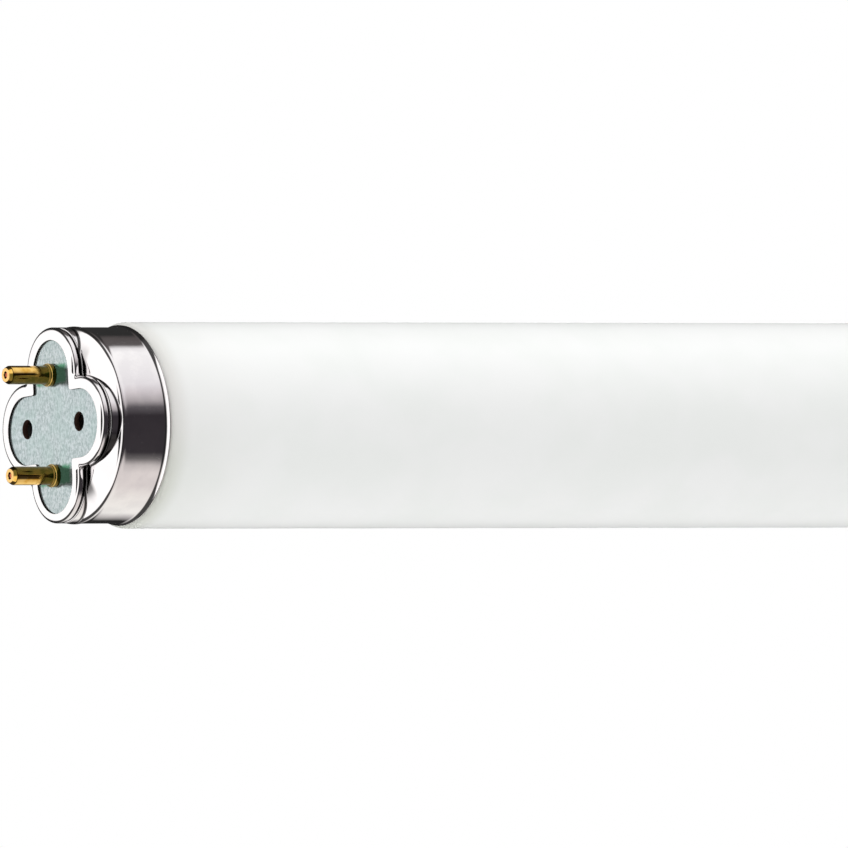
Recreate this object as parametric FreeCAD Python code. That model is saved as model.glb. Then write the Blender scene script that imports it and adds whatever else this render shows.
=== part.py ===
import FreeCAD, Part
import math
import os

# A straight fluorescent lamp, 600 mm nominal, with a two-pin cap on each end.
#
# The long axis is X, the origin is the middle of the lamp, and both pairs of pins stand in the
# XZ plane. Each cap is drawn first at the left end, where depth 0 is the outer face of the cap and
# depth grows along the axis, into the lamp. The right cap is the same cap, turned half round.
# Sizes are in millimetres, and radii are measured from the lamp's axis unless a comment says so.

Vector = FreeCAD.Vector

# Lamp and bulb
face_to_face = 589.8        # from the outer face of one cap to the other
tube_radius = 13.0          # the straight glass barrel
barrel_round = 1.2          # the rounded step from the barrel down to the neck
neck_round = 0.3            # the hollow at the foot of that step
end_round = 1.8             # the closed end of the neck
end_setback = 1.8           # from the front of the skirt back to the bulb's end
funnel_depth = 12.5         # the glass is drawn inwards at its end, as a funnel
funnel_margin = 1.25        # what the funnel's mouth stands outside the pins' centres
funnel_floor_radius = 3.6
funnel_round = 1.2
stub_radius = 1.7           # the sealed-off pumping tube in the middle of the funnel
stub_round = 1.3
stub_proud = 1.6            # how far it stands out of the bulb's end

# Cap shell, drawn from one aluminium blank
wall = 0.3
skirt_step = 0.65           # the skirt lies this far inside the barrel's radius
skirt_front = 3.15          # depth of the bead at the front of the skirt
bead_height = 0.16          # what the bead stands proud of the skirt
bead_round = 0.25
bead_length = 1.1           # from the bead back to the plain skirt
skirt_rim = 10.06           # depth of the skirt's open edge
flare_height = 0.28         # the open edge is flared outwards
flare_length = 0.9
shoulder_share = 1.7        # where the shoulder starts, as a share of the boss's half width

# Boss with four round lobes on the cap's front, and the opening in its face
rim_width = 1.4             # the face of the boss between the opening and its outer wall
lobe_side = 2.3             # straight side of the opening, from its corner to its round end
opening_corner = 0.4        # radius in the four inner corners of the opening
boss_corner = 0.5           # radius in the four valleys of the boss
boss_round = 0.6            # the boss's front edge
groove_depth = 0.45         # the wall is pressed in behind the disc, which holds it
groove_length = 0.48
groove_lead = 0.12          # the groove starts this far in front of the disc's back

# Insulating disc
disc_thickness = 0.8
disc_clearance = 0.2        # round its edge, inside the boss
spare_hole_radius = 1.25

# Contact pins, hollow, with radii measured from each pin's own axis
pin_spacing = 12.7
pin_radius = 1.175
pin_length = 6.7            # from the face of the disc to the tip
pin_hole_clearance = 0.03
tip_radius = 0.88
tip_length = 0.5
tip_round = 0.4
mouth_radius = 0.46         # the open mouth in the tip
mouth_length = 0.45
collar_step = 0.29          # the collar on the disc's face, beyond the pin's radius
collar_length = 0.63
ring_share = 0.7            # the lower ring in front of it, as a share of that step
ring_length = 0.25
flange_step = 0.7           # the back end is spread behind the disc
flange_length = 0.35
collar_round = 0.1
pin_wall = 0.36
crimp_length = 0.35         # behind the mouth, the tip is closed on the lead wire
crimp_taper = 0.5

# Lead wires and cement
wire_radius = 0.28
wire_setback = 0.2          # the wire's end lies this far inside the tip
wire_foot = 2.75            # from the axis to where each wire leaves the glass
wire_bend_setback = 1.75    # from the pin's back end to the bend
wire_bend_radius = 6.0
cement_gap = 0.4            # between the skirt and the glass neck
cement_start = 0.4          # the cement starts this far behind the bulb's rounded end
cement_setback = 0.06       # it ends this far inside the skirt's open edge

# Of a straight side between two rounded corners, the two roundings take at most this share
largest_trim = 0.98

# Sizes that follow from those above
skirt_radius = tube_radius - skirt_step
lobe_radius = (skirt_radius - rim_width - lobe_side) / 2
lobe_centre = lobe_radius + lobe_side
disc_front = wall
disc_back = disc_front + disc_thickness
groove_start = disc_back - groove_lead
boss_base = groove_start + groove_length
neck_radius = skirt_radius - wall - cement_gap
bulb_end = skirt_front + end_setback
barrel_start = skirt_rim - cement_setback + barrel_round
funnel_mouth_radius = pin_spacing / 2 + funnel_margin
funnel_floor = bulb_end + funnel_depth
pin_tip = disc_front - pin_length
pin_back = disc_back + flange_length


def rounded_outline(corners):
    """A closed wire in the XZ plane through corners of (depth, radius, rounding)."""
    points = [Vector(depth, 0, radius) for depth, radius, rounding in corners]
    count = len(points)
    to_next = [points[(index + 1) % count] - points[index] for index in range(count)]
    half_angles = [to_next[index].getAngle(to_next[index - 1] * -1) / 2 for index in range(count)]
    wanted = [corners[index][2] / math.tan(half_angles[index]) for index in range(count)]
    crowding = [
        max(1, (wanted[index] + wanted[(index + 1) % count]) / (largest_trim * to_next[index].Length))
        for index in range(count)
    ]
    starts, ends, arcs = [], [], []
    for index, corner in enumerate(points):
        trim = wanted[index] / max(crowding[index], crowding[index - 1])
        forward = Vector(to_next[index]).normalize()
        back = Vector(to_next[index - 1]).normalize() * -1
        starts.append(corner + back * trim)
        ends.append(corner + forward * trim)
        if trim > 0:
            rounding = trim * math.tan(half_angles[index])
            bisector = (forward + back).normalize()
            middle = corner + bisector * (rounding / math.sin(half_angles[index]) - rounding)
            arcs.append([Part.Arc(starts[index], middle, ends[index]).toShape()])
        else:
            arcs.append([])
    edges = []
    for index in range(count):
        side = Part.LineSegment(ends[index], starts[(index + 1) % count])
        edges += arcs[index] + [side.toShape()]
    return Part.Wire(edges)


def turned(corners):
    """The solid that the outline makes when it is turned round the lamp's axis."""
    face = Part.Face(rounded_outline(corners))
    return face.revolve(Vector(0, 0, 0), Vector(1, 0, 0), 360)


def valley_radius(offset):
    """Radius in the valleys of an outline that lies this far outside the opening."""
    largest = 0.8 * (lobe_side - rim_width)
    return min(boss_corner, largest) + rim_width - offset


def lobed_wire(offset, depth, corner):
    """Four round lobes in a cross: the opening's outline moved outwards by the offset."""
    half_width = lobe_radius + offset
    centre = half_width + corner
    diagonal = centre - corner * math.sqrt(0.5)
    edges = []
    for quarter in range(4):
        turn = FreeCAD.Rotation(Vector(1, 0, 0), 90 * quarter)

        def place(y, z):
            return turn.multVec(Vector(depth, y, z))

        side_foot = place(half_width, centre)
        side_top = place(half_width, lobe_centre)
        lobe_top = place(0, lobe_centre + half_width)
        far_top = place(-half_width, lobe_centre)
        far_foot = place(-half_width, centre)
        valley = place(-diagonal, diagonal)
        next_foot = place(-centre, half_width)
        edges.append(Part.LineSegment(side_foot, side_top).toShape())
        edges.append(Part.Arc(side_top, lobe_top, far_top).toShape())
        edges.append(Part.LineSegment(far_top, far_foot).toShape())
        edges.append(Part.Arc(far_foot, valley, next_foot).toShape())
    return Part.Wire(edges)


def lobed_block(offset, start, end, corner):
    """A straight block with four lobes, from one depth to another."""
    face = Part.Face(lobed_wire(offset, start, corner))
    return face.extrude(Vector(end - start, 0, 0))


def lobed_ring(section):
    """A ring that follows the lobed outline, with a section given as (offset, depth) points."""
    valley_centre = lobe_radius + rim_width + valley_radius(rim_width)

    def section_face(turned_side, z):
        points = [Vector(depth, turned_side * (lobe_radius + offset), z) for offset, depth in section]
        return Part.Face(Part.makePolygon(points + points[:1]))

    straight = Vector(0, 0, lobe_centre - valley_centre)
    lobe_axis = Vector(0, 0, lobe_centre)
    valley_axis = Vector(0, -valley_centre, valley_centre)
    quarter = [
        section_face(1, valley_centre).extrude(straight),
        section_face(1, lobe_centre).revolve(lobe_axis, Vector(1, 0, 0), 180),
        section_face(-1, valley_centre).extrude(straight),
        section_face(-1, valley_centre).revolve(valley_axis, Vector(-1, 0, 0), 90),
    ]
    ring = []
    for turn in range(4):
        for block in quarter:
            block = block.copy()
            block.rotate(Vector(0, 0, 0), Vector(1, 0, 0), 90 * turn)
            ring.append(block)
    return ring[0].multiFuse(ring[1:])


def boss_form(inset):
    """The boss as a full block, drawn in by the inset on its front and its sides."""
    side = rim_width - inset
    block = lobed_block(side, inset, skirt_front + inset, valley_radius(side))
    rounding = boss_round - inset
    if rounding > 0:
        front_edges = [edge for edge in block.Edges if edge.BoundBox.XMax < inset + rounding / 10]
        block = block.makeFillet(rounding, front_edges)
    groove_middle = groove_start + groove_length / 2
    overlap = boss_corner / 4
    slope = groove_depth / (groove_length / 2)
    groove = lobed_ring([
        (side + overlap, groove_start - overlap / slope),
        (side - groove_depth, groove_middle),
        (side + overlap, boss_base + overlap / slope),
    ])
    return block.cut(groove)


def skirt_form(inset, overrun):
    """Shoulder and skirt as a full turned body, drawn in by the inset."""
    shoulder_radius = shoulder_share * (lobe_radius + rim_width)
    radius = skirt_radius - inset
    slope = flare_height / flare_length
    return turned([
        (boss_base + inset, 0, 0),
        (boss_base + inset, shoulder_radius - inset, 0),
        (skirt_front + inset, radius + bead_height, bead_round),
        (skirt_front + inset + bead_length, radius, 0),
        (skirt_rim - flare_length, radius, 0),
        (skirt_rim + overrun, radius + flare_height + slope * overrun, 0),
        (skirt_rim + overrun, 0, 0),
    ])


def cap_shell():
    """Thin drawn shell: lobed boss, shoulder, skirt and flared edge in one wall."""
    outside = boss_form(0).fuse(skirt_form(0, 0))
    inside = boss_form(wall).fuse(skirt_form(wall, wall))
    opening = lobed_block(0, -wall, boss_base, opening_corner)
    return outside.cut(inside).cut(opening).removeSplitter()


def round_bar(radius, start, end, y, z):
    return Part.makeCylinder(radius, end - start, Vector(start, y, z), Vector(1, 0, 0))


def insulating_disc():
    """Lobed disc behind the face of the boss, with two pin holes and two spare holes."""
    offset = rim_width - max(wall + disc_clearance, boss_round)
    disc = lobed_block(offset, disc_front, disc_back, valley_radius(offset))
    reach = pin_spacing / 2
    for side in (-1, 1):
        pin_hole = round_bar(pin_radius + pin_hole_clearance, 0, disc_back + wall, 0, side * reach)
        spare_hole = round_bar(spare_hole_radius, 0, disc_back + wall, side * reach, 0)
        disc = disc.cut(pin_hole).cut(spare_hole)
    return disc


def contact_pin(side):
    """Hollow pin with a closed-in tip, a collar on the disc and a spread end behind it."""
    bore_radius = pin_radius - pin_wall
    ring_radius = pin_radius + ring_share * collar_step
    collar_radius = pin_radius + collar_step
    flange_radius = pin_radius + flange_step
    collar_front = disc_front - collar_length
    crimp_end = pin_tip + mouth_length + crimp_length
    pin = turned([
        (pin_tip, mouth_radius, 0),
        (pin_tip, tip_radius, 0),
        (pin_tip + tip_length, pin_radius, tip_round),
        (collar_front - ring_length, pin_radius, 0),
        (collar_front - ring_length, ring_radius, 0),
        (collar_front, ring_radius, 0),
        (collar_front, collar_radius, collar_round),
        (disc_front, collar_radius, collar_round),
        (disc_front, pin_radius, 0),
        (disc_back, pin_radius, 0),
        (disc_back, flange_radius, 0),
        (pin_back, flange_radius, 0),
        (pin_back, bore_radius, 0),
        (crimp_end + crimp_taper, bore_radius, 0),
        (crimp_end, wire_radius, 0),
        (pin_tip + mouth_length, wire_radius, 0),
    ])
    pin.translate(Vector(0, 0, side * pin_spacing / 2))
    return pin


def lead_wire(side):
    """Wire from the floor of the glass funnel, through the pin's bore, to the pin's tip."""
    bend_depth = pin_back + wire_bend_setback
    foot = Vector(funnel_floor, 0, side * wire_foot)
    bend = Vector(bend_depth, 0, side * pin_spacing / 2)
    tip = Vector(pin_tip + wire_setback, 0, side * pin_spacing / 2)
    to_foot = (foot - bend).normalize()
    to_tip = (tip - bend).normalize()
    half_angle = to_foot.getAngle(to_tip) / 2
    trim = wire_bend_radius / math.tan(half_angle)
    bisector = (to_foot + to_tip).normalize()
    reach = wire_bend_radius / math.sin(half_angle) - wire_bend_radius
    arc_start = bend + to_foot * trim
    arc_end = bend + to_tip * trim
    path = Part.Wire([
        Part.LineSegment(tip, arc_end).toShape(),
        Part.Arc(arc_end, bend + bisector * reach, arc_start).toShape(),
        Part.LineSegment(arc_start, foot + to_foot * wire_radius * 2).toShape(),
    ])
    circle = Part.makeCircle(wire_radius, tip, Vector(1, 0, 0))
    wire = path.makePipeShell([Part.Wire([circle])], True, False)
    return wire.cut(bulb_half())


def cement_ring():
    """Cement between the skirt and the glass neck, up to the foot of the barrel."""
    skirt_inside = skirt_radius - wall
    start = bulb_end + end_round + cement_start
    end = skirt_rim - cement_setback
    slope = flare_height / flare_length
    ring = turned([
        (start, neck_radius, 0),
        (start, skirt_inside, 0),
        (skirt_rim - flare_length, skirt_inside, 0),
        (end, skirt_inside + slope * (flare_length - cement_setback), 0),
        (end, neck_radius, 0),
    ])
    return ring.cut(bulb_half())


def bulb_half():
    """Half of the sealed bulb, from its funnelled end to the middle of the lamp."""
    middle = face_to_face / 2
    outside = turned([
        (bulb_end, 0, 0),
        (bulb_end, neck_radius, end_round),
        (barrel_start - barrel_round, neck_radius, neck_round),
        (barrel_start - barrel_round, tube_radius, barrel_round),
        (middle, tube_radius, 0),
        (middle, 0, 0),
    ])
    funnel = turned([
        (bulb_end - stub_proud, 0, 0),
        (bulb_end - stub_proud, funnel_mouth_radius + funnel_round, 0),
        (bulb_end, funnel_mouth_radius + funnel_round, 0),
        (bulb_end + funnel_round, funnel_mouth_radius, funnel_round),
        (funnel_floor, funnel_floor_radius, funnel_round),
        (funnel_floor, 0, 0),
    ])
    stub = turned([
        (bulb_end - stub_proud, 0, 0),
        (bulb_end - stub_proud, stub_radius, stub_round),
        (funnel_floor + wall, stub_radius, 0),
        (funnel_floor + wall, 0, 0),
    ])
    return outside.cut(funnel).fuse(stub)


def glass_bulb():
    """The whole sealed bulb, centred on the origin."""
    half = bulb_half()
    half.translate(Vector(-face_to_face / 2, 0, 0))
    other = half.copy()
    other.rotate(Vector(0, 0, 0), Vector(0, 0, 1), 180)
    return half.fuse(other).removeSplitter()


def cap_pieces():
    """Every piece of one cap, drawn at depth 0."""
    return {
        "cap_shell": cap_shell(),
        "insulating_disc": insulating_disc(),
        "upper_pin": contact_pin(1),
        "lower_pin": contact_pin(-1),
        "upper_lead_wire": lead_wire(1),
        "lower_lead_wire": lead_wire(-1),
        "cement_ring": cement_ring(),
    }


def lamp_pieces():
    """The bulb, and the pieces of both caps in their places."""
    pieces = {"glass_bulb": glass_bulb()}
    for name, shape in cap_pieces().items():
        left = shape.copy()
        left.translate(Vector(-face_to_face / 2, 0, 0))
        right = left.copy()
        right.rotate(Vector(0, 0, 0), Vector(0, 0, 1), 180)
        pieces["left_" + name] = left
        pieces["right_" + name] = right
    return pieces


os.makedirs("parts", exist_ok=True)
for node, piece in lamp_pieces().items():
    piece.exportStep("parts/" + node + ".step")
    print(node, "volume", round(piece.Volume, 2), "solids", len(piece.Solids), "valid", piece.isValid())
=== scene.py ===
# %% [markdown]
# # A straight fluorescent lamp
#
# The lamp is a white-coated glass tube with a drawn aluminium cap on each end. Each cap carries a
# fibre disc and two hollow brass pins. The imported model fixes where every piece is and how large.
# This script gives the pieces their surfaces: polished metal, coated glass, fibre, brass and copper.
#
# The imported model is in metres, with the long axis on X and the origin in the middle of the lamp.
# Small parts are easier to think about in millimetres, so sizes are named in millimetres here and
# turned into metres where a mesh is made.

import math

import bpy
from mathutils import Matrix, Vector


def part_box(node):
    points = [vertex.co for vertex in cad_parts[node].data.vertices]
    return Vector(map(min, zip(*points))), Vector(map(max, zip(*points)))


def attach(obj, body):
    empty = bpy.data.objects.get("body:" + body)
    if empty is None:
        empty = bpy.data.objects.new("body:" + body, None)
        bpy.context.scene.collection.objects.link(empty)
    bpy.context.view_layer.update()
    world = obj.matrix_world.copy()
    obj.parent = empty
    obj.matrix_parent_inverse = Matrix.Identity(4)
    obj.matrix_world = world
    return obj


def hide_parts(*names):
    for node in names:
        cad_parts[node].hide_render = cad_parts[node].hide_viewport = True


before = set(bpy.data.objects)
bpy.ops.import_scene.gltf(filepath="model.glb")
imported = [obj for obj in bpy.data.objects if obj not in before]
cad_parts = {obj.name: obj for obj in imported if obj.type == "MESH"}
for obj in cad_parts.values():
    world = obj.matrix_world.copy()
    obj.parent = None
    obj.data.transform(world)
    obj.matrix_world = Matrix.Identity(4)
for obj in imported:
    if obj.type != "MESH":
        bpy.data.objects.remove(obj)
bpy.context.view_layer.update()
MM = 0.001

print("packed nodes:", ", ".join(sorted(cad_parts)))

# %% [markdown]
# ## Sizes
#
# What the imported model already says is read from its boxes, so that a new size there moves the
# looks with it. Depth is measured in millimetres from the outer face of the left cap, into the
# lamp. The rest are the form's own sizes, and each is written once.

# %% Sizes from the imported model
def box_mm(node):
    """Lowest and highest corner of a node, in millimetres."""
    low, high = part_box(node)
    return low / MM, high / MM


shell_low, shell_high = box_mm("left_cap_shell")
disc_low, disc_high = box_mm("left_insulating_disc")
pin_low, pin_high = box_mm("left_upper_pin")
wire_low, wire_high = box_mm("left_upper_lead_wire")
bulb_low, bulb_high = box_mm("glass_bulb")

half_length = -shell_low.x
skirt_rim = shell_high.x + half_length
lip_radius = shell_high.z
disc_front = disc_low.x + half_length
disc_back = disc_high.x + half_length
pin_tip = pin_low.x + half_length
pin_back = pin_high.x + half_length
pin_axis = (pin_low.z + pin_high.z) / 2
flange_radius = (pin_high.z - pin_low.z) / 2
wire_radius = (wire_high.y - wire_low.y) / 2
stub_depth = bulb_low.x + half_length
tube_radius = bulb_high.z

print("half length", round(half_length, 2), "mm, tube radius", round(tube_radius, 2), "mm")
print("cap depth", round(skirt_rim, 2), "mm, pins at", round(pin_axis, 2), "mm from the axis")

# %% [markdown]
# ## The camera
#
# The lamp is seen from in front of its left cap, turned a third of a right angle away from its
# side, through a long lens: the tube's edges stay parallel. The lamp is also rolled a little
# about its own axis, so that the pins lean. Both turns belong to the camera, not to the lamp.

# %% Camera
view_turn = math.radians(31.4)
view_roll = math.radians(4.7)
pixels_per_mm = 7.908
picture_width = 848
aim_depth = 54.92
aim_above_axis = 0.18
lens_length = 1600.0
sensor_width = 36.0

toward_camera = Vector((
    -math.sin(view_turn),
    -math.cos(view_turn) * math.cos(view_roll),
    -math.cos(view_turn) * math.sin(view_roll),
))
picture_up = Vector((0, -math.sin(view_roll), math.cos(view_roll)))
picture_right = picture_up.cross(toward_camera)
half_width = picture_width / 2 / pixels_per_mm * MM
distance = half_width * lens_length / (sensor_width / 2)
aim = Vector((aim_depth - half_length, 0, 0)) * MM + picture_up * aim_above_axis * MM

camera = bpy.data.objects.new("camera", bpy.data.cameras.new("camera"))
bpy.context.scene.collection.objects.link(camera)
camera.data.lens = lens_length
camera.data.sensor_width = sensor_width
turn = Matrix((picture_right, picture_up, toward_camera)).transposed().to_4x4()
camera.matrix_world = Matrix.Translation(aim + toward_camera * distance) @ turn
bpy.context.scene.camera = camera

print("camera", round(distance, 2), "m away")

# %% [markdown]
# ## Writing nodes as sums
#
# A shader or a Geometry Nodes tree is a drawing of formulas. Two small helpers let the script
# write the formulas as such. `Signal` wraps a socket, so that `1 - mask * 0.5` adds the Math nodes
# for it. `Sheet.node` adds any other node from its type, its settings and what its sockets take.

# %% Node helpers
class Signal:
    """A socket that can be added to, scaled and compared like a number."""

    def __init__(self, sheet, socket):
        self.sheet = sheet
        self.socket = socket

    def __add__(self, other):
        return self.sheet.maths("ADD", self, other)

    def __sub__(self, other):
        return self.sheet.maths("SUBTRACT", self, other)

    def __rsub__(self, other):
        return self.sheet.maths("SUBTRACT", other, self)

    def __mul__(self, other):
        return self.sheet.maths("MULTIPLY", self, other)

    def __truediv__(self, other):
        return self.sheet.maths("DIVIDE", self, other)

    __radd__ = __add__
    __rmul__ = __mul__

    def above(self, start, end):
        """0 below the start, 1 above the end, and a smooth step between them."""
        settings = {"interpolation_type": "SMOOTHSTEP"}
        return self.sheet.node("ShaderNodeMapRange", settings, {
            "Value": self, "From Min": start, "From Max": end,
        })

    def below(self, start, end):
        return 1 - self.above(start, end)

    def between(self, rise, fall):
        """1 between two smooth steps, each given by where it starts and ends."""
        return self.above(*rise) * self.below(*fall)


class Sheet:
    """One node tree that is being drawn."""

    def __init__(self, tree):
        self.tree = tree
        self.tree.nodes.clear()

    def maths(self, operation, *values):
        """A Math node on numbers or signals."""
        return self.node("ShaderNodeMath", {"operation": operation}, list(values))

    def node(self, kind, settings=None, values=None, output=0):
        """Adds a node: settings first, then numbers or links for its sockets."""
        made = self.tree.nodes.new(kind)
        for name, setting in (settings or {}).items():
            if name == "stops":
                self.set_stops(made.color_ramp, setting)
            else:
                setattr(made, name, setting)
        pairs = values.items() if isinstance(values, dict) else enumerate(values or [])
        for key, value in pairs:
            self.feed(self.find(made.inputs, key), value)
        return Signal(self, self.find(made.outputs, output)) if made.outputs else None

    def find(self, sockets, key):
        if isinstance(key, int):
            return sockets[key]
        return next(socket for socket in sockets if key in (socket.identifier, socket.name))

    def feed(self, socket, value):
        if isinstance(value, Signal):
            self.tree.links.new(value.socket, socket)
        else:
            socket.default_value = value

    def set_stops(self, ramp, stops):
        ramp.elements[0].position = stops[0][0]
        ramp.elements[1].position = stops[-1][0]
        for place, colour in stops[1:-1]:
            ramp.elements.new(place)
        for element, (place, colour) in zip(ramp.elements, stops):
            element.color = colour

    def mix(self, share, first, second):
        """A colour between two colours."""
        return self.node("ShaderNodeMix", {"data_type": "RGBA"}, {
            "Factor_Float": share, "A_Color": first, "B_Color": second,
        }, "Result_Color")

    def separate(self, vector):
        made = self.node("ShaderNodeSeparateXYZ", None, [vector])
        outputs = made.socket.node.outputs
        return [Signal(self, outputs[axis]) for axis in "XYZ"]


def rgb(red, green, blue):
    """A colour given as it looks on screen, from 0 to 255, as the linear colour nodes use."""
    def linear(value):
        share = value / 255
        return share / 12.92 if share <= 0.04045 else ((share + 0.055) / 1.055) ** 2.4
    return (linear(red), linear(green), linear(blue), 1.0)


print("white 231 is", round(rgb(231, 231, 231)[0], 3), "in linear light")

# %% [markdown]
# ## The studio
#
# Polished metal shows what stands round it. The cap's skirt is a cylinder, so a panel beside the
# lamp becomes a bright stripe along it and the dark room between two panels a black one. The world
# holds these panels as a ramp of colour round the lamp's axis, and only reflections see them.
#
# The flat rim mirrors what stands past the lamp's end instead: a bright panel with a dark card in
# it. Straight across the lamp the room is dark, which draws a black line wherever the metal bends.
# Matt surfaces take their light from a second ramp, which shades the white tube from side to side.
# The camera itself sees plain white.

# %% Studio panels
# Angle round the lamp's axis in degrees, from the camera's side upwards, with the panel's colour.
studio_panels = [
    (-180, 0.03, 0.03, 0.03),
    (-152, 0.02, 0.02, 0.02),
    (-136, 0.60, 0.58, 0.57),
    (-126, 0.93, 0.92, 0.88),
    (-96, 0.90, 0.87, 0.83),
    (-76, 0.76, 0.71, 0.69),
    (-58, 0.76, 0.71, 0.69),
    (-48, 0.58, 0.54, 0.53),
    (-40, 0.16, 0.15, 0.15),
    (-32, 0.04, 0.035, 0.04),
    (12, 0.035, 0.03, 0.035),
    (22, 0.12, 0.11, 0.12),
    (29, 0.44, 0.41, 0.42),
    (40, 0.70, 0.66, 0.68),
    (50, 0.88, 0.86, 0.88),
    (62, 0.95, 0.94, 0.95),
    (96, 1.05, 1.05, 1.05),
    (103, 0.90, 0.89, 0.90),
    (110, 0.12, 0.11, 0.11),
    (126, 0.09, 0.08, 0.08),
    (134, 0.03, 0.03, 0.03),
    (180, 0.03, 0.03, 0.03),
]
end_panel = (1.2, 1.19, 1.18, 1.0)
dark_card = (0.02, 0.02, 0.02, 1.0)
card_tilt = math.radians(5)
gap_darkness = 0.95
gap_shift = 0.27

# A direction's share along the lamp, -1 straight out past the left end: where each part fades.
card_fade = (-0.72, -0.62)
end_fade = (-0.34, -0.1)
gap_start = (-0.42, -0.3)
gap_end = (0.2, 0.36)
side_fade = (0.08, 0.42)

# The same angle, with the strength of the light that falls from there on matt surfaces.
room_light = [
    (-180, 0.4),
    (-120, 0.9),
    (-85, 1.55),
    (-68, 1.6),
    (-50, 0.95),
    (-30, 0.25),
    (-15, 0.2),
    (0, 0.48),
    (15, 0.86),
    (30, 1.08),
    (60, 1.02),
    (100, 1.15),
    (130, 0.65),
    (180, 0.4),
]
least_light = 0.05
side_light = 3.0

print("studio panels:", len(studio_panels), "and light from", len(room_light), "angles")


# %% The world
def round_the_axis(sheet, place, angles):
    """A ramp of colours, each given with its angle in degrees."""
    stops = [((degrees + 180) / 360, colour) for degrees, colour in angles]
    return sheet.node("ShaderNodeValToRGB", {"stops": stops}, [place], "Color")


def reflected_room(sheet, along, angle, place):
    """What metal mirrors. A direction is given by its share along the lamp and its angle round it."""
    panels = round_the_axis(sheet, place, [(panel[0], panel[1:] + (1.0,)) for panel in studio_panels])
    from_camera = sheet.maths("ABSOLUTE", angle + card_tilt)
    card = from_camera.below(math.radians(40), math.radians(60)) * along.below(*card_fade)
    past_end = sheet.mix(card, end_panel, dark_card)
    seen = sheet.mix(along.below(*end_fade), panels, past_end)
    in_front = from_camera.below(math.radians(60), math.radians(90))
    gap = (along - in_front * gap_shift).above(*gap_start) * along.below(*gap_end)
    return sheet.mix(gap * gap_darkness, seen, dark_card)


def matt_light(sheet, along, place):
    """The light on matt surfaces: most of it comes from the sides, and little along the lamp."""
    greys = [(degrees, (share, share, share, 1.0)) for degrees, share in room_light]
    from_side = sheet.maths("ABSOLUTE", along).below(*side_fade)
    return (least_light + from_side * side_light) * round_the_axis(sheet, place, greys)


def studio_world():
    world = bpy.data.worlds.new("studio")
    bpy.context.scene.world = world
    world.use_nodes = True
    world.cycles.sampling_method = "NONE"
    sheet = Sheet(world.node_tree)
    direction = sheet.node("ShaderNodeTexCoord", None, None, "Generated")
    along, across, up = sheet.separate(direction)
    angle = sheet.maths("ARCTAN2", up, across * -1)
    place = angle / (2 * math.pi) + 0.5 + view_roll / (2 * math.pi)
    seen = reflected_room(sheet, along, angle, place)
    level = matt_light(sheet, along, place)

    light_path = sheet.node("ShaderNodeLightPath", None, None, "Is Camera Ray")
    camera_ray, glossy_ray, transmission_ray = [
        Signal(sheet, light_path.socket.node.outputs[name])
        for name in ("Is Camera Ray", "Is Glossy Ray", "Is Transmission Ray")
    ]
    plain = sheet.node("ShaderNodeCombineColor", None, [level, level, level])
    colour = sheet.mix(glossy_ray, plain, seen)
    white = sheet.maths("MAXIMUM", camera_ray, transmission_ray)
    colour = sheet.mix(white, colour, (1, 1, 1, 1))
    background = sheet.node("ShaderNodeBackground", None, {"Color": colour, "Strength": 1.0})
    sheet.node("ShaderNodeOutputWorld", None, {"Surface": background})
    return sheet


print("the world has", len(studio_world().tree.nodes), "nodes")

# %% [markdown]
# ## Key lights and floor
#
# A soft key light shines on the disc of each cap from beside the lamp's axis. It gives the disc its
# brightness and lays the short shadow beside each pin. A light can be linked to the objects that it
# may reach, so the metal round the disc stays as the panels make it. The floor is plain and pale,
# below the lamp. From underneath it is see-through, because the camera stands a little lower.

# %% Key lights
key_strength = 5.2
key_softness = math.radians(8)
key_slant = math.radians(52)
key_drop = 0.1


def soft_sun(name, strength, softness, direction, lit):
    """A sun that reaches only the pieces of one collection, and that no metal mirrors."""
    light = bpy.data.lights.new(name, "SUN")
    light.energy = strength
    light.angle = softness
    lamp = bpy.data.objects.new(name, light)
    bpy.context.scene.collection.objects.link(lamp)
    lamp.rotation_euler = direction.to_track_quat("-Z", "Y").to_euler()
    lamp.visible_glossy = False
    lamp.light_linking.receiver_collection = lit


for end, side in ((-1, "left"), (1, "right")):
    disc_only = bpy.data.collections.new(side + "_disc_only")
    disc_only.objects.link(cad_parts[side + "_insulating_disc"])
    key_direction = Vector((-end * math.cos(key_slant), end * math.sin(key_slant), -key_drop))
    soft_sun(side + "_key", key_strength, key_softness, key_direction, disc_only)

print("key lights", round(math.degrees(key_slant)), "degrees from the axis, on the two discs")

# %% Floor
floor_drop = 80.0
floor_half_size = 3.0


def floor_material():
    material = bpy.data.materials.new("pale_floor")
    material.use_nodes = True
    sheet = Sheet(material.node_tree)
    path = sheet.node("ShaderNodeLightPath", None, None, "Is Camera Ray")
    paint = sheet.node("ShaderNodeBsdfDiffuse", None, {"Color": (0.8, 0.8, 0.8, 1)})
    glow = sheet.node("ShaderNodeEmission", None, {"Color": (1, 1, 1, 1), "Strength": path * 0.25})
    lit = sheet.node("ShaderNodeAddShader", None, [paint, glow])
    clear = sheet.node("ShaderNodeBsdfTransparent")
    behind = sheet.node("ShaderNodeNewGeometry", None, None, "Backfacing")
    surface = sheet.node("ShaderNodeMixShader", None, [behind, lit, clear])
    sheet.node("ShaderNodeOutputMaterial", None, {"Surface": surface})
    return material


def floor_plane():
    height = -floor_drop * MM
    reach = floor_half_size
    mesh = bpy.data.meshes.new("floor")
    corners = [
        (-reach, -reach, height), (reach, -reach, height),
        (reach, reach, height), (-reach, reach, height),
    ]
    mesh.from_pydata(corners, [], [(0, 1, 2, 3)])
    mesh.materials.append(floor_material())
    floor = bpy.data.objects.new("floor", mesh)
    bpy.context.scene.collection.objects.link(floor)
    floor.visible_glossy = False
    floor.visible_diffuse = False


floor_plane()
print("floor", floor_drop, "mm below the lamp's axis")

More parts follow.
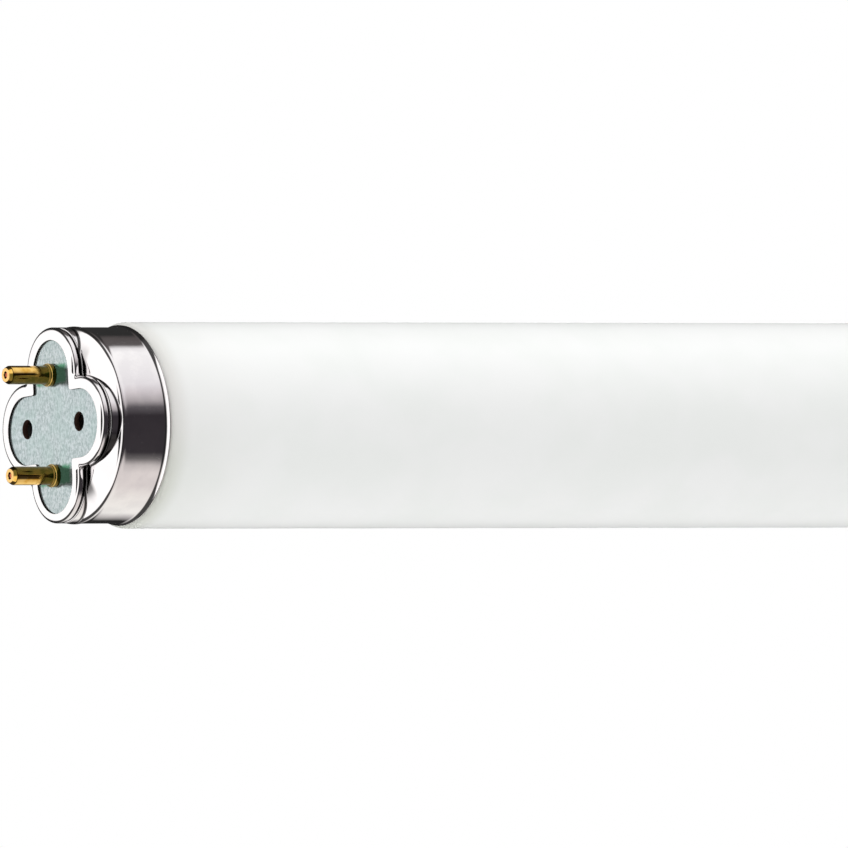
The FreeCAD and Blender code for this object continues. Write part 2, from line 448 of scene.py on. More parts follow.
# %% [markdown]
# ## Finishes
#
# Every finish is a Principled surface with patterns on Object coordinates. All pieces sit at the
# origin, so a pattern's place on the lamp is simply a place in metres, and the distance from a
# lamp's end is half its length less the size of X.

# %% A finish and its common parts
class Finish(Sheet):
    """A material whose tree holds one Principled surface."""

    def __init__(self, name):
        self.material = bpy.data.materials.new(name)
        self.material.use_nodes = True
        super().__init__(self.material.node_tree)
        self.place = self.node("ShaderNodeTexCoord", None, None, "Object")
        self.along, self.across, self.up = [part / MM for part in self.separate(self.place)]
        self.depth = half_length - self.maths("ABSOLUTE", self.along)

    def noise(self, size_mm, detail=2.0, roughness=0.5, stretch=(1, 1, 1)):
        """Cloudy pattern about as large as the size, centred on 0.5."""
        place = self.place
        if stretch != (1, 1, 1):
            place = self.node("ShaderNodeMapping", None, {"Vector": place, "Scale": stretch})
        return self.node("ShaderNodeTexNoise", None, {
            "Vector": place, "Scale": 1 / (size_mm * MM), "Detail": detail, "Roughness": roughness,
        }, "Fac")

    def from_pin_axis(self):
        """Millimetres outwards from the height of the nearer pin's axis."""
        return self.maths("ABSOLUTE", self.up) - pin_axis

    def bump(self, height, travel_mm):
        """A normal from a height pattern whose full travel is given in millimetres."""
        return self.node("ShaderNodeBump", None, {
            "Height": height * (travel_mm * MM), "Distance": 1.0, "Strength": 1.0,
        }, "Normal")

    def finish(self, **sockets):
        values = {name.replace("_", " "): value for name, value in sockets.items()}
        surface = self.node("ShaderNodeBsdfPrincipled", None, values)
        self.node("ShaderNodeOutputMaterial", None, {"Surface": surface})
        return self.material


print("a pattern of 1 mm has the scale", round(1 / MM))

# %% [markdown]
# ### Brass and copper
#
# The pins are turned from brass tube. Turning leaves fine rings round them, which are bands along
# the pin's length. The side that faces the lamp's axis and the end by the disc are painted dark
# olive, a painted dark reflection, all but a ring before the collar, which is painted bright as a
# painted highlight. The tip is painted paler, also a painted highlight, and the inside of its mouth
# dark brown, a painted shade.

# %% Brass and copper
dark_side_start = -2.9
dark_side_fade = 0.9


def turned_brass():
    finish = Finish("turned_brass")
    behind_tip = finish.depth - pin_tip
    from_axis = finish.from_pin_axis()
    rings = finish.noise(0.5, 2.0, 0.5, (12, 0.4, 0.4))
    tone = finish.noise(0.9, 3.0)
    wander = tone * 0.9 - 0.45
    # Painted dark reflection: the side that faces the lamp's axis and the end by the disc are painted dark
    # olive.
    inner_side = from_axis.below(0.0, 0.25)
    near_disc = (finish.depth + wander).above(dark_side_start, dark_side_start + dark_side_fade)
    painted_dark_side = finish.maths("MAXIMUM", inner_side, near_disc)
    # Painted highlight: a ring before the collar is kept bright.
    painted_glint = finish.depth.between((-0.46, -0.42), (-0.34, -0.3))
    # A lit and a shaded copy of the brass colour.
    lit_brass = finish.mix(tone.above(0.4, 0.7), rgb(252, 210, 122), rgb(228, 176, 72))
    shaded_brass = finish.mix(tone.above(0.35, 0.65), rgb(112, 84, 22), rgb(74, 70, 24))
    colour = finish.mix(painted_dark_side * 0.92 * (1 - painted_glint * 0.7), lit_brass, shaded_brass)
    # Painted highlight: the tip is painted paler.
    tip = behind_tip.below(0.02, 0.12)
    colour = finish.mix(tip, colour, rgb(244, 198, 124))
    # Painted shade: the inside of the mouth is painted dark brown.
    from_pin_squared = finish.across * finish.across + from_axis * from_axis
    mouth = from_pin_squared.below(0.25, 0.4) * behind_tip.above(0.03, 0.15)
    colour = finish.mix(mouth, colour, rgb(58, 28, 12))
    return finish.finish(
        Base_Color=colour,
        Metallic=1.0,
        Roughness=0.05 + tone * 0.06 + tip * 0.1,
        Normal=finish.bump(rings, 0.002),
    )


def copper_wire():
    finish = Finish("copper_wire")
    tone = finish.noise(0.3, 2.0)
    colour = finish.mix(tone, rgb(226, 128, 92), rgb(176, 84, 56))
    return finish.finish(Base_Color=colour, Metallic=1.0, Roughness=0.3 + tone * 0.2)


brass = turned_brass()
copper = copper_wire()
print("made", brass.name, "and", copper.name)

# %% [markdown]
# ### Fibre disc
#
# The disc is punched from vulcanised fibre, painted pale green-grey on its faces. Short fibres make
# its face mottled. Beside each pin the face is painted dark green, a painted shadow that deepens the
# shadow the pin casts. The brown core shows where it was cut: round the edge and inside the four
# holes.

# %% Fibre disc
def fibre_board():
    finish = Finish("fibre_board")
    fibres = finish.noise(0.5, 4.0, 0.75, (1, 1.4, 1.0))
    clouds = finish.noise(3.0, 2.0)
    face = finish.mix(fibres.above(0.36, 0.62), rgb(146, 160, 160), rgb(196, 204, 206))
    face = finish.mix(clouds.above(0.35, 0.7) * 0.35, face, rgb(164, 186, 181))
    # Painted shadow: beside each pin the face is painted dark green, where the pin's cast shadow falls.
    beside = finish.maths("ABSOLUTE", finish.across) + fibres * 0.8 - 0.4
    over = finish.maths("ABSOLUTE", finish.from_pin_axis()) + fibres * 0.6 - 0.3
    painted_pin_shadow = beside.below(3.2, 4.2) * over.below(0.9, 1.5)
    face = finish.mix(painted_pin_shadow * 0.9, face, rgb(58, 128, 92))
    core = (finish.depth - disc_front).above(0.02, 0.1)
    colour = finish.mix(core, face, rgb(72, 44, 32))
    return finish.finish(
        Base_Color=colour,
        Roughness=0.62 + fibres * 0.2,
        Normal=finish.bump(fibres, 0.02),
    )


fibre = fibre_board()
print("made", fibre.name)

# %% [markdown]
# ### Coated glass and cement
#
# The tube is clear glass with a white powder inside. Seen from outside that is a matt white under
# a smooth gloss, so the white is the base and the glass is a coat. Toward each cap the white is
# painted darker and beige, a painted shade over a few millimetres and faintly further along; on the
# lower side that colour is greenish. The cement that holds the cap is a coarse plaster, of which
# only a thin ring shows.

# %% Coated glass and cement
def coated_glass():
    finish = Finish("coated_glass")
    past_skirt = finish.depth - skirt_rim
    clouds = finish.noise(9.0, 2.0)
    powder = finish.noise(0.5, 3.0)
    white = finish.mix(clouds.above(0.35, 0.7), rgb(241, 242, 241), rgb(238, 240, 238))
    # Painted shade: toward each cap the white is painted darker and beige, greenish on the lower side.
    cap_shade = past_skirt.below(0, 3.2) * 0.3 + past_skirt.below(0, 16) * 0.1
    tone = finish.mix(finish.up.below(-9, 2), rgb(190, 184, 176), rgb(160, 164, 136))
    colour = finish.mix(cap_shade, white, tone)
    return finish.finish(
        Base_Color=colour,
        Roughness=0.5 + powder * 0.1,
        Coat_Weight=0.3,
        Coat_Roughness=0.04,
        Coat_IOR=1.5,
        IOR=1.2,
    )


def cap_cement():
    finish = Finish("cap_cement")
    grains = finish.noise(0.4, 4.0, 0.7)
    colour = finish.mix(grains, rgb(150, 138, 112), rgb(198, 186, 158))
    return finish.finish(Base_Color=colour, Roughness=0.9, Normal=finish.bump(grains, 0.08))


glass = coated_glass()
cement = cap_cement()
print("made", glass.name, "and", cement.name)

# %% [markdown]
# ## Turned pieces
#
# The bulb and the pins are bodies of revolution: an outline turned round an axis. The Screw or
# Spin tools would do it, but a Geometry Nodes tree keeps the rule in sight. A grid has one row for
# each step round the axis and one column for each point of the outline. Every grid point then takes
# its depth and radius from the outline and its angle from its row. Merging closes the seam and the
# poles. Edges that turn sharply are marked, so that only they are shaded as edges.

# %% Outline with rounded corners
arc_steps = 8
hold_gap = 0.04


def rounded_outline(corners, closed):
    """Points of (depth, radius) through corners of (depth, radius, rounding)."""
    count = len(corners)
    points = []
    for index, (depth, radius, rounding) in enumerate(corners):
        corner = Vector((depth, radius))
        at_end = not closed and index in (0, count - 1)
        if rounding == 0 or at_end:
            points.append(corner)
            continue
        before = Vector(corners[index - 1][:2]) - corner
        after = Vector(corners[(index + 1) % count][:2]) - corner
        half_angle = before.angle(after) / 2
        trim = rounding / math.tan(half_angle)
        bisector = (before.normalized() + after.normalized()).normalized()
        centre = corner + bisector * rounding / math.sin(half_angle)
        start = corner + before.normalized() * trim - centre
        sweep = math.pi - 2 * half_angle
        if before.x * after.y - before.y * after.x < 0:
            sweep = -sweep
        if before.length > trim + 3 * hold_gap:
            points.append(corner + before.normalized() * (trim + hold_gap))
        for step in range(arc_steps + 1):
            turned = Matrix.Rotation(-sweep * step / arc_steps, 2) @ start
            points.append(centre + turned)
        if after.length > trim + 3 * hold_gap:
            points.append(corner + after.normalized() * (trim + hold_gap))
    return points


print("a rounded corner has", arc_steps, "steps")

# %% Geometry Nodes tree that turns an outline
def turning_tree():
    """Inputs: the outline, the steps round the axis, the axis's height and the material."""
    tree = bpy.data.node_groups.new("turned_piece", "GeometryNodeTree")
    interface = tree.interface
    interface.new_socket("Outline", in_out="INPUT", socket_type="NodeSocketGeometry")
    interface.new_socket("Steps", in_out="INPUT", socket_type="NodeSocketInt")
    interface.new_socket("Closed", in_out="INPUT", socket_type="NodeSocketInt")
    interface.new_socket("Axis Height", in_out="INPUT", socket_type="NodeSocketFloat")
    interface.new_socket("Sharp Angle", in_out="INPUT", socket_type="NodeSocketFloat")
    interface.new_socket("Finish", in_out="INPUT", socket_type="NodeSocketMaterial")
    interface.new_socket("Piece", in_out="OUTPUT", socket_type="NodeSocketGeometry")
    sheet = Sheet(tree)
    entry = sheet.node("NodeGroupInput").socket.node
    outline, steps, closed, height, sharp, material = [
        Signal(sheet, entry.outputs[name])
        for name in ("Outline", "Steps", "Closed", "Axis Height", "Sharp Angle", "Finish")
    ]
    count = sheet.node("GeometryNodeAttributeDomainSize", {"component": "MESH"}, [outline], "Point Count")
    columns = count + closed
    grid = sheet.node("GeometryNodeMeshGrid", None, {"Vertices X": steps + 1, "Vertices Y": columns}, "Mesh")
    index = sheet.node("GeometryNodeInputIndex")
    row = sheet.maths("FLOOR", index / columns)
    column = sheet.maths("MODULO", index - row * columns, count)
    position = sheet.node("GeometryNodeInputPosition")
    source = sheet.node("GeometryNodeSampleIndex", {"data_type": "FLOAT_VECTOR"}, {
        "Geometry": outline, "Value": position, "Index": column,
    })
    depth, across, radius = sheet.separate(source)
    angle = row / steps * (2 * math.pi)
    place = sheet.node("ShaderNodeCombineXYZ", None, [
        depth,
        radius * sheet.maths("SINE", angle),
        radius * sheet.maths("COSINE", angle) + height,
    ])
    turned = sheet.node("GeometryNodeSetPosition", None, {"Geometry": grid, "Position": place})
    merged = sheet.node("GeometryNodeMergeByDistance", None, {"Geometry": turned, "Distance": 1e-7})
    smooth = sheet.node("GeometryNodeSetShadeSmooth", {"domain": "FACE"}, {"Geometry": merged})
    bend = sheet.node("GeometryNodeInputMeshEdgeAngle", None, None, "Unsigned Angle")
    is_sharp = sheet.node("FunctionNodeCompare", {"operation": "GREATER_THAN"}, [bend, sharp])
    edged = sheet.node("GeometryNodeSetShadeSmooth", {"domain": "EDGE"}, {
        "Geometry": smooth, "Selection": is_sharp, "Shade Smooth": False,
    })
    real = sheet.node("GeometryNodeRealizeInstances", None, [edged])
    done = sheet.node("GeometryNodeSetMaterial", None, {"Geometry": real, "Material": material})
    sheet.node("NodeGroupOutput", None, [done])
    return tree


turned_piece = turning_tree()
sharp_angle = math.radians(30)


def turn_outline(name, points, closed, steps, axis_height, material):
    """Runs the tree on an outline and leaves a plain mesh on a new object."""
    mesh = bpy.data.meshes.new(name)
    mesh.from_pydata([(point.x * MM, 0, point.y * MM) for point in points], [], [])
    piece = bpy.data.objects.new(name, mesh)
    bpy.context.scene.collection.objects.link(piece)
    modifier = piece.modifiers.new("turned", "NODES")
    modifier.node_group = turned_piece
    wanted = {
        "Steps": steps,
        "Closed": 1 if closed else 0,
        "Axis Height": axis_height * MM,
        "Sharp Angle": sharp_angle,
        "Finish": material,
    }
    for socket in turned_piece.interface.items_tree:
        if socket.name in wanted:
            modifier[socket.identifier] = wanted[socket.name]
    graph = bpy.context.evaluated_depsgraph_get()
    plain = bpy.data.meshes.new_from_object(piece.evaluated_get(graph))
    piece.modifiers.clear()
    piece.data = plain
    return piece


print("turning tree has", len(turned_piece.nodes), "nodes")

# %% [markdown]
# ## Both ends alike
#
# Everything on the left cap is drawn at depth 0. A copy is moved to each end: the left one slides
# to its place, and the right one is also turned half round, which keeps its faces outwards.

# %% Place pieces at both ends
def end_matrix(end):
    """From depth in a cap to the row frame, for the left end (-1) or the right one (1)."""
    slide = Matrix.Translation((-half_length * MM, 0, 0))
    return slide if end < 0 else Matrix.Rotation(math.pi, 4, "Z") @ slide


def place_at_ends(drawn, name, nodes, slot):
    """Two copies of a drawn piece, each standing for a node of its own cap."""
    for end, side in ((-1, "left"), (1, "right")):
        mesh = drawn.data.copy()
        mesh.transform(end_matrix(end))
        piece = bpy.data.objects.new(side + "_" + name, mesh)
        bpy.context.scene.collection.objects.link(piece)
        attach(piece, "root")
        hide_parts(side + "_" + nodes)
        piece.visible_glossy = slot != "pin"
    print(name, len(drawn.data.polygons), "faces at each end")
    bpy.data.objects.remove(drawn)


print("the right cap starts at", round(end_matrix(1).translation.x / MM, 1), "mm")

# %% [markdown]
# ## The bulb
#
# The glass is closed at each end by a neck, which the cap covers, and a funnel that carries the
# wires in. A short sealed tube stands in the middle of the funnel, where the air was pumped out.
# Most of that is hidden, but it shows through the cap's holes, and the meshes are kept on their own.

# %% Bulb
neck_radius = 11.65
neck_start = 10.0
barrel_round = 1.06
neck_round = 0.2
end_round = 1.8
stub_radius = 1.7
stub_round = 1.3
stub_proud = 1.6
funnel_depth = 12.5
funnel_mouth_radius = 7.6
funnel_floor_radius = 3.6
funnel_round = 1.2
barrel_rings = 24


def bulb_outline():
    """From the middle of one closed end, along the outside, to the middle of the other."""
    end = stub_depth + stub_proud
    floor = end + funnel_depth
    corners = [
        (stub_depth, 0, 0),
        (stub_depth, stub_radius, stub_round),
        (floor, stub_radius, 0),
        (floor, funnel_floor_radius, funnel_round),
        (end + funnel_round, funnel_mouth_radius, funnel_round),
        (end, funnel_mouth_radius + funnel_round, 0),
        (end, neck_radius, end_round),
        (neck_start, neck_radius, neck_round),
        (neck_start, tube_radius, barrel_round),
        (half_length, tube_radius, 0),
    ]
    left = [Vector((point.x - half_length, point.y)) for point in rounded_outline(corners, False)][:-1]
    right = [Vector((-point.x, point.y)) for point in reversed(left)]
    reach = -left[-1].x
    rings = [Vector((reach * (2 * step / barrel_rings - 1), tube_radius)) for step in range(1, barrel_rings)]
    return left + rings + right


bulb = turn_outline("coated_bulb", bulb_outline(), False, 192, 0, glass)
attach(bulb, "root")
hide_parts("glass_bulb")
print("bulb", len(bulb.data.polygons), "faces")

# %% [markdown]
# A very soft light along the lamp brightens the glass beside each cap, where the light from the
# sides falls off. It is linked to the bulb, so that it changes nothing else.

# %% Fill lights for the glass
fill_strength = 1.3
fill_softness = math.radians(70)
fill_slant = Vector((0, 0.25, -0.15))

glass_only = bpy.data.collections.new("glass_only")
glass_only.objects.link(bulb)
for end, side in ((-1, "left"), (1, "right")):
    soft_sun(side + "_fill", fill_strength, fill_softness, Vector((-end, 0, 0)) + fill_slant, glass_only)

print("fill lights of strength", fill_strength, "on the glass")

# %% [markdown]
# ## The pins
#
# Each pin is a thin brass tube. Its tip is rolled in to a small mouth that grips the copper lead
# wire, and two steps near the disc form a collar. Behind the disc the tube is spread to hold it.

# %% Pins
pin_radius = 1.175
pin_wall = 0.36
tip_radius = 0.88
tip_length = 0.5
tip_round = 0.4
mouth_radius = 0.46
mouth_length = 0.45
crimp_length = 0.35
crimp_taper = 0.5
collar_step = 0.29
collar_length = 0.63
ring_step = 0.2
ring_length = 0.25
edge_round = 0.07


def pin_outline():
    bore_radius = pin_radius - pin_wall
    collar_front = disc_front - collar_length
    ring_front = collar_front - ring_length
    crimp_end = pin_tip + mouth_length + crimp_length
    return rounded_outline([
        (pin_tip, mouth_radius, edge_round),
        (pin_tip, tip_radius, edge_round),
        (pin_tip + tip_length, pin_radius, tip_round),
        (ring_front, pin_radius, edge_round),
        (ring_front, pin_radius + ring_step, edge_round),
        (collar_front, pin_radius + ring_step, edge_round / 2),
        (collar_front, pin_radius + collar_step, edge_round / 2),
        (disc_front, pin_radius + collar_step, edge_round),
        (disc_front, pin_radius, 0),
        (disc_back, pin_radius, 0),
        (disc_back, flange_radius, 0),
        (pin_back, flange_radius, 0),
        (pin_back, bore_radius, 0),
        (crimp_end + crimp_taper, bore_radius, 0),
        (crimp_end, wire_radius, 0),
        (pin_tip + mouth_length, wire_radius, 0),
    ], True)


for height, name in ((pin_axis, "upper"), (-pin_axis, "lower")):
    drawn_pin = turn_outline("drawn_pin", pin_outline(), True, 72, height, brass)
    place_at_ends(drawn_pin, name + "_brass_pin", name + "_pin", "pin")

# %% [markdown]
# ## The cap shell
#
# This is the piece that needs the most care. One blank of sheet is drawn into a boss with four
# round lobes, pressed in behind the disc, spread to a round shoulder and carried back as a skirt
# with a flared edge. No lathe or extrusion gives it, because its section changes from four lobes to
# a circle. It is built as a grid instead. Each place round the boss gets one column of points,
# which runs from the opening over the outside to the flared edge and back inside the wall. A column
# follows the boss's outline at first, and then heads straight away from the axis.

# %% Boss outline
wall = 0.3
rim_width = 1.4
lobe_side = 2.3
opening_corner = 0.4
boss_corner = 0.5
boss_round = 0.6
opening_edge = 0.05
opening_hold = 0.08
opening_shift = Vector((-0.3, -0.22))
groove_depth = 0.45
groove_length = 0.48
groove_lead = 0.12
flare_height = 0.28
flare_length = 0.9
lobe_steps = 56
valley_steps = 6
side_steps = 3

skirt_radius = lip_radius - flare_height
lobe_radius = (skirt_radius - rim_width - lobe_side) / 2
lobe_centre = lobe_radius + lobe_side
groove_start = disc_back - groove_lead
groove_end = groove_start + groove_length


def lobed_outline(offset, corner):
    """Places round the boss as (point, outward direction), both in the plane across the axis."""
    half_width = lobe_radius + offset
    centre = half_width + corner
    one_lobe = []
    for step in range(valley_steps, 0, -1):
        bend = math.radians(45) * step / valley_steps
        outward = Vector((-math.cos(bend), math.sin(bend)))
        one_lobe.append((Vector((-centre, centre)) - outward * corner, outward))
    for step in range(side_steps):
        height = centre + (lobe_centre - centre) * step / side_steps
        one_lobe.append((Vector((-half_width, height)), Vector((-1, 0))))
    left_side = list(one_lobe)
    for step in range(lobe_steps + 1):
        bend = math.pi * (step / lobe_steps - 0.5)
        outward = Vector((math.sin(bend), math.cos(bend)))
        one_lobe.append((Vector((0, lobe_centre)) + outward * half_width, outward))
    for point, outward in reversed(left_side[1:]):
        one_lobe.append((Vector((-point.x, point.y)), Vector((-outward.x, outward.y))))
    outline = []
    for quarter in range(4):
        turn = Matrix.Rotation(-math.radians(90) * quarter, 2)
        outline += [(turn @ point, turn @ outward) for point, outward in one_lobe]
    return outline


boss_wall = lobed_outline(rim_width, boss_corner)
opening = lobed_outline(0, opening_corner)
print("boss outline has", len(boss_wall), "places")

# %% [markdown]
# The shoulder is one curve of depth against distance from the axis: the flat floor of the valleys
# between the lobes, a cone and a rounded bead. Each column joins it where the boss's wall stands,
# through a small fillet, which is no larger than the floor's clearance behind the groove.

# %% Shoulder and bead
shoulder_share = 1.78
valley_clearance = 0.07
valley_round = 0.9
skirt_front = 3.0
bead_height = 0.16
bead_round = 0.75
bead_length = 1.1


def rounded_corner(before, corner, after, rounding):
    """Centre of the rounding in a corner, and the points where it starts and ends."""
    back = (before - corner).normalized()
    forward = (after - corner).normalized()
    half_angle = back.angle(forward) / 2
    trim = rounding / math.tan(half_angle)
    centre = corner + (back + forward).normalized() * rounding / math.sin(half_angle)
    return centre, corner + back * trim, corner + forward * trim


valley_depth = groove_end + valley_clearance
valley_corner = Vector((valley_depth, shoulder_share * (lobe_radius + rim_width)))
bead_corner = Vector((skirt_front, skirt_radius + bead_height))
skirt_start = Vector((skirt_front + bead_length, skirt_radius))
valley_centre, valley_end, cone_start = rounded_corner(
    Vector((valley_depth, 0)), valley_corner, bead_corner, valley_round)
bead_centre, cone_end, bead_end = rounded_corner(valley_corner, bead_corner, skirt_start, bead_round)

# Lengths along the curve, from where the floor starts to bend, to the ends of its other parts
bend_length = (valley_end - valley_centre).angle(cone_start - valley_centre) * valley_round
cone_length = bend_length + (cone_end - cone_start).length
shoulder_length = cone_length + (cone_end - bead_centre).angle(bead_end - bead_centre) * bead_round


def shoulder_depth(radius):
    """The depth of the shoulder at a distance from the axis."""
    if radius <= valley_end.y:
        return valley_end.x
    if radius <= cone_start.y:
        return valley_centre.x - math.sqrt(valley_round ** 2 - (radius - valley_centre.y) ** 2)
    if radius <= cone_end.y:
        share = (radius - cone_start.y) / (cone_end.y - cone_start.y)
        return cone_start.x + (cone_end.x - cone_start.x) * share
    return bead_centre.x - math.sqrt(bead_round ** 2 - (radius - bead_centre.y) ** 2)


def shoulder_travel(radius):
    """The length along the shoulder's curve up to a distance from the axis."""
    spot = Vector((shoulder_depth(radius), radius))
    if radius <= valley_end.y:
        return radius - valley_end.y
    if radius <= cone_start.y:
        return (valley_end - valley_centre).angle(spot - valley_centre) * valley_round
    if radius <= cone_end.y:
        return bend_length + (spot - cone_start).length
    return cone_length + (cone_end - bead_centre).angle(spot - bead_centre) * bead_round


def along_shoulder(travel):
    """The point of the shoulder's curve after a length along it."""
    if travel <= 0:
        return valley_end + Vector((0, travel))
    if travel <= bend_length:
        return valley_centre + Matrix.Rotation(-travel / valley_round, 2) @ (valley_end - valley_centre)
    if travel <= cone_length:
        return cone_start.lerp(cone_end, (travel - bend_length) / (cone_length - bend_length))
    turned = Matrix.Rotation(-(travel - cone_length) / bead_round, 2)
    return bead_centre + turned @ (cone_end - bead_centre)


print("shoulder curve", round(shoulder_length, 2), "mm long, with a floor at", round(valley_depth, 2), "mm")

# %% [markdown]
# Past the bead every column is alike: the skirt, the flare, the rolled edge and the way back along
# the inside. The skirt's rear edge opens like a trumpet and ends in a half round.

# %% Skirt and flare
slope_steps = 5
skirt_steps = 6
flare_steps = 10
lip_steps = 8


def steps(start, end, count):
    """Evenly spaced values after the start, up to the end."""
    return [start + (end - start) * (step + 1) / count for step in range(count)]


def skirt_outline():
    """Outside of the skirt from the bead to the edge, round it, and back inside to the shoulder."""
    points = []
    for share in steps(0, 1, slope_steps):
        depth = bead_end.x + (skirt_start.x - bead_end.x) * share
        points.append((depth, bead_end.y + (skirt_radius - bead_end.y) * (2 * share - share * share)))
    flare_start = skirt_rim - flare_length
    for depth in steps(skirt_start.x, flare_start, skirt_steps):
        points.append((depth, skirt_radius))
    lip = wall / 2
    flare = []
    for share in steps(0, 1, flare_steps):
        depth = flare_start + (flare_length - lip) * share
        flare.append((depth, skirt_radius + flare_height * share * share))
    points += flare
    depth, radius = flare[-1]
    for bend in steps(0, math.pi, lip_steps):
        points.append((depth + lip * math.sin(bend), radius - lip * (1 - math.cos(bend))))
    for depth, radius in reversed(flare[:-1]):
        points.append((depth, radius - wall))
    for depth in (flare_start, skirt_start.x, skirt_front + 2 * wall):
        points.append((depth, skirt_radius - wall))
    return points


skirt_points = skirt_outline()
print("skirt outline has", len(skirt_points), "points")

# %% [markdown]
# A column starts at the opening's edge, crosses the rim, runs down the boss's wall through the
# groove and joins the shoulder. After the skirt it comes back inside the boss, one wall within.

# %% Columns of the shell
edge_steps = 4
rim_steps = 10
wall_steps = 4
groove_steps = 16
fillet_steps = 4
shoulder_steps = 12
bead_steps = 8
least_fillet = 0.03
largest_fillet = 0.07
fillet_reach = 1.2


def groove_in(depth):
    """How far the wall is pressed in at a depth."""
    share = min(1, max(0, (depth - groove_start) / groove_length))
    return groove_depth * (1 - math.cos(2 * math.pi * share)) / 2


def fillet_at(radius):
    """The fillet at the foot of the wall, which shrinks towards the bead."""
    share = min(1, max(0, (skirt_radius - radius) / fillet_reach))
    return least_fillet + (largest_fillet - least_fillet) * share * share * (3 - 2 * share)


def outside_of_boss(by_boss, by_opening):
    """Round the opening's edge, over the rim and down the wall to the groove's end."""
    column = [by_opening(0, wall), by_opening(0, opening_edge)]
    for bend in steps(0, math.pi / 2, edge_steps):
        column.append(by_opening(opening_edge * (1 - math.cos(bend)), opening_edge * (1 - math.sin(bend))))
    column.append(by_opening(opening_hold, 0))
    flat = rim_width - boss_round
    column += [by_boss(flat - hold_gap, 0), by_boss(flat, 0)]
    for bend in steps(0, math.pi / 2, rim_steps):
        column.append(by_boss(flat + boss_round * math.sin(bend), boss_round * (1 - math.cos(bend))))
    for depth in steps(boss_round, groove_start, wall_steps):
        column.append(by_boss(rim_width, depth))
    for depth in steps(groove_start, groove_end, groove_steps):
        column.append(by_boss(rim_width - groove_in(depth), depth))
    return column


def shoulder_points(radius):
    """The shoulder and the bead, from a distance from the axis to the bead's end."""
    started = shoulder_travel(radius)
    bead_travel = max(cone_length, (started + shoulder_length) / 2)
    travels = steps(started, bead_travel, shoulder_steps) + steps(bead_travel, shoulder_length, bead_steps)
    return [along_shoulder(travel) for travel in travels]


def inside_of_boss(by_boss, by_opening, start):
    """From a depth under the shoulder, along the inside of the wall, to the opening."""
    inside = rim_width - wall
    column = [by_boss(inside, start)]
    for depth in reversed([groove_start] + steps(groove_start, groove_end, groove_steps // 2)):
        column.append(by_boss(inside - groove_in(depth), depth))
    rounding = boss_round - wall
    for bend in reversed([0] + steps(0, math.pi / 2, edge_steps)):
        column.append(by_boss(
            rim_width - boss_round + rounding * math.sin(bend), boss_round - rounding * math.cos(bend)))
    column.append(by_opening(opening_edge, wall))
    return column


def shell_column(place):
    """The points of one column, as (depth, across, up)."""
    point, outward = boss_wall[place]
    edge, edge_outward = opening[place]
    radius = point.length
    away = point.normalized()

    def by_boss(offset, depth):
        spot = point + outward * (offset - rim_width)
        return (depth, spot.x, spot.y)

    def by_opening(offset, depth):
        spot = edge + edge_outward * offset + opening_shift
        return (depth, spot.x, spot.y)

    def by_axis(depth, reach):
        return (depth, away.x * reach, away.y * reach)

    column = outside_of_boss(by_boss, by_opening)
    fillet = fillet_at(radius)
    for depth in steps(groove_end, shoulder_depth(radius) - fillet, wall_steps):
        column.append(by_boss(rim_width, depth))
    slant = outward.dot(away)
    for bend in steps(0, math.pi / 2, fillet_steps):
        reach = radius + fillet * (1 - math.cos(bend)) / slant
        column.append(by_axis(shoulder_depth(reach) - fillet * (1 - math.sin(bend)), reach))
    column += [by_axis(*spot) for spot in shoulder_points(radius + fillet / slant)]
    column += [by_axis(*spot) for spot in skirt_points]
    return column + inside_of_boss(by_boss, by_opening, shoulder_depth(radius) + wall)


shell_columns = [shell_column(place) for place in range(len(boss_wall))]
print("shell:", len(shell_columns), "columns of", len(shell_columns[0]), "points")

# %% [markdown]
# ### Drawn aluminium
#
# The cap is pressed from bright sheet. It mirrors the studio, but never perfectly: drawing leaves
# slow waves that bend the edges of a reflection, and fine pits that catch the light in the dark
# parts. The waves and pits are bump, and the pits are also rougher.
#
# Where the metal faces more metal it looks black: in the groove, at the foot of the boss's wall, in
# the corners between the lobes and on the undersides. Mirroring alone gives only part of that, so
# these places are painted darker in the colour too: painted shade and painted dark reflections,
# stronger in the lower corners. The cut edge of the opening is painted nearly black, also a painted
# shade.

# %% Drawn aluminium
groove_darkness = 0.8
corner_darkness = 0.35
low_corner_darkness = 0.5
darkest = 0.96


def painted_shade_on_shell(finish):
    """How much painted shade each place of the shell gets. Every distance is in millimetres."""
    behind_disc = finish.depth - disc_back
    side = finish.maths("ABSOLUTE", finish.across)
    height = finish.maths("ABSOLUTE", finish.up)
    from_axis = finish.maths("SQRT", side * side + height * height)
    up_cone = finish.maths("MAXIMUM", from_axis - valley_corner.y, 0)
    cone_slope = (bead_corner.x - valley_corner.x) / (bead_corner.y - valley_corner.y)
    over_foot = up_cone * cone_slope + valley_corner.x - finish.depth

    # Painted shade and painted dark reflections: the groove, the crease at the wall's foot, the corners
    # between the lobes and the undersides.
    groove = behind_disc.between((-0.1, 0), (0.22, 0.34)) * groove_darkness
    crease = over_foot.between((0.03, 0.1), (0.34, 0.5))
    corner = side.below(6.3, 7.1) * height.below(8.6, 10.8) * behind_disc.between((0, 0.25), (0.5, 1.6))
    corner = corner * (finish.up.below(-1, 1) * low_corner_darkness + corner_darkness)
    underside = finish.up.below(-2.8, -1.2) * (side - height).above(0, 0.6)
    underside = underside * behind_disc.above(-0.4, -0.2) * over_foot.above(0.03, 0.1)

    dark = finish.maths("MAXIMUM", groove, crease)
    for part in (corner, underside):
        dark = finish.maths("MAXIMUM", dark, part)
    return dark * darkest


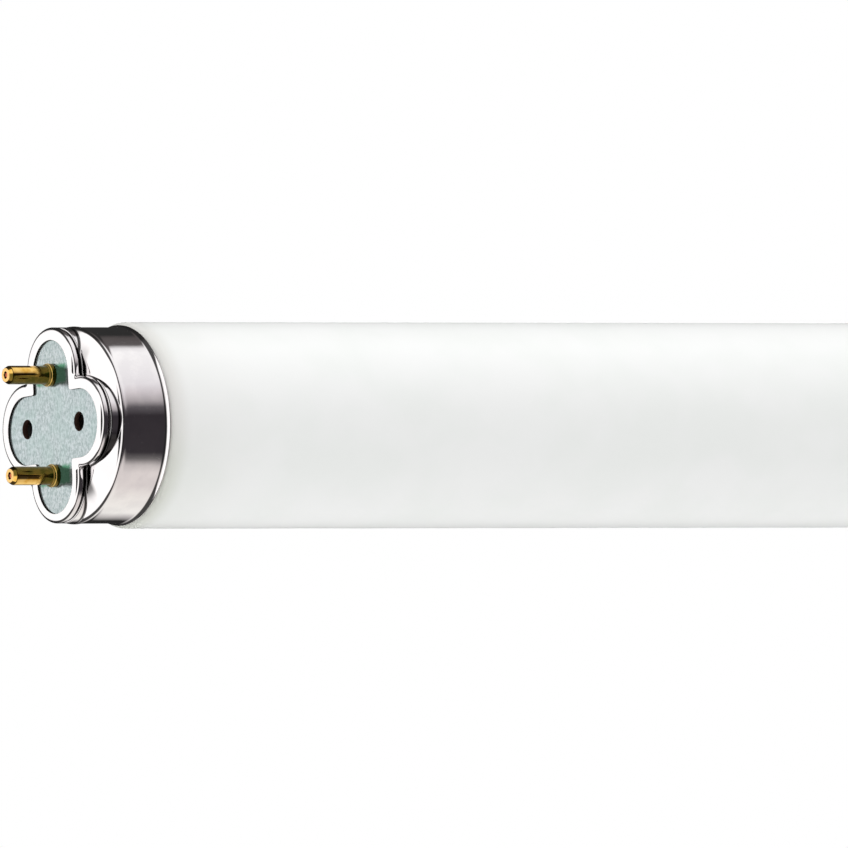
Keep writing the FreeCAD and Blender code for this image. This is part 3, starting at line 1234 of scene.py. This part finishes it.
def drawn_aluminium():
    finish = Finish("drawn_aluminium")
    waves = finish.noise(4.0, 1.0)
    grain = finish.noise(0.22, 2.0, 0.6)
    specks = finish.noise(0.2, 0.0).above(0.72, 0.78)
    tint = finish.noise(2.5, 3.0)
    rim_face = finish.depth.below(0.02, 0.12)
    colour = finish.mix(tint.above(0.35, 0.65), rgb(246, 243, 243), rgb(238, 235, 236))
    colour = finish.mix(painted_shade_on_shell(finish), colour, rgb(26, 22, 22))
    relief = waves * 0.8 + grain * 0.01 + specks * 0.015
    return finish.finish(
        Base_Color=colour,
        Metallic=1.0,
        Roughness=0.04 + grain * 0.03 + specks * 0.1 + rim_face * 0.08,
        Normal=finish.bump(relief, 0.012),
    )


def cut_aluminium():
    finish = Finish("cut_aluminium")
    grain = finish.noise(0.15, 2.0)
    # Painted shade: the cut edge is painted nearly black.
    colour = finish.mix(grain, rgb(22, 20, 20), rgb(48, 44, 42))
    return finish.finish(Base_Color=colour, Metallic=0.6, Roughness=0.5 + grain * 0.2)


aluminium = drawn_aluminium()
cut_edge = cut_aluminium()
print("made", aluminium.name, "and", cut_edge.name)

# %% [markdown]
# The columns stand side by side round the boss, and the last one meets the first. Each also closes
# on itself, so the shell is one watertight skin. The faces beside a column's first point are the
# cut edge of the opening.

# %% Shell mesh
def shell_mesh():
    length = len(shell_columns[0])
    points = [(x * MM, y * MM, z * MM) for column in shell_columns for x, y, z in column]
    faces = []
    for place in range(len(shell_columns)):
        here = place * length
        there = (place + 1) % len(shell_columns) * length
        for step in range(length):
            after = (step + 1) % length
            faces.append((here + step, here + after, there + after, there + step))
    mesh = bpy.data.meshes.new("drawn_shell")
    mesh.from_pydata(points, [], faces)
    mesh.materials.append(aluminium)
    mesh.materials.append(cut_edge)
    for face in mesh.polygons:
        if face.index % length in (0, length - 1):
            face.material_index = 1
    mesh.shade_smooth()
    return mesh


drawn_shell = bpy.data.objects.new("drawn_shell", shell_mesh())
bpy.context.scene.collection.objects.link(drawn_shell)
place_at_ends(drawn_shell, "drawn_shell", "cap_shell", "cap")

# %% [markdown]
# ## Pieces that keep their packed form
#
# The fibre disc is a flat punching, the lead wire a plain wire and the cement a simple ring. Their
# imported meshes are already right, so they only take their finish. Mirrored in the shell, the wires
# would show as stray lines, so reflections leave them out, and the pins too.

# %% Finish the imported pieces
for side in ("left", "right"):
    carried = {
        "insulating_disc": fibre,
        "upper_lead_wire": copper,
        "lower_lead_wire": copper,
        "cement_ring": cement,
    }
    for name, material in carried.items():
        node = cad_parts[side + "_" + name]
        node.data.materials.clear()
        node.data.materials.append(material)
        node.visible_glossy = material != copper
print("finished", 2 * len(carried), "packed pieces")

# %% [markdown]
# ## The view
#
# The picture is shown through the Standard view transform. The looks have to stay inside the
# imported model's box.

# %% View transform
bpy.context.scene.view_settings.view_transform = "Standard"
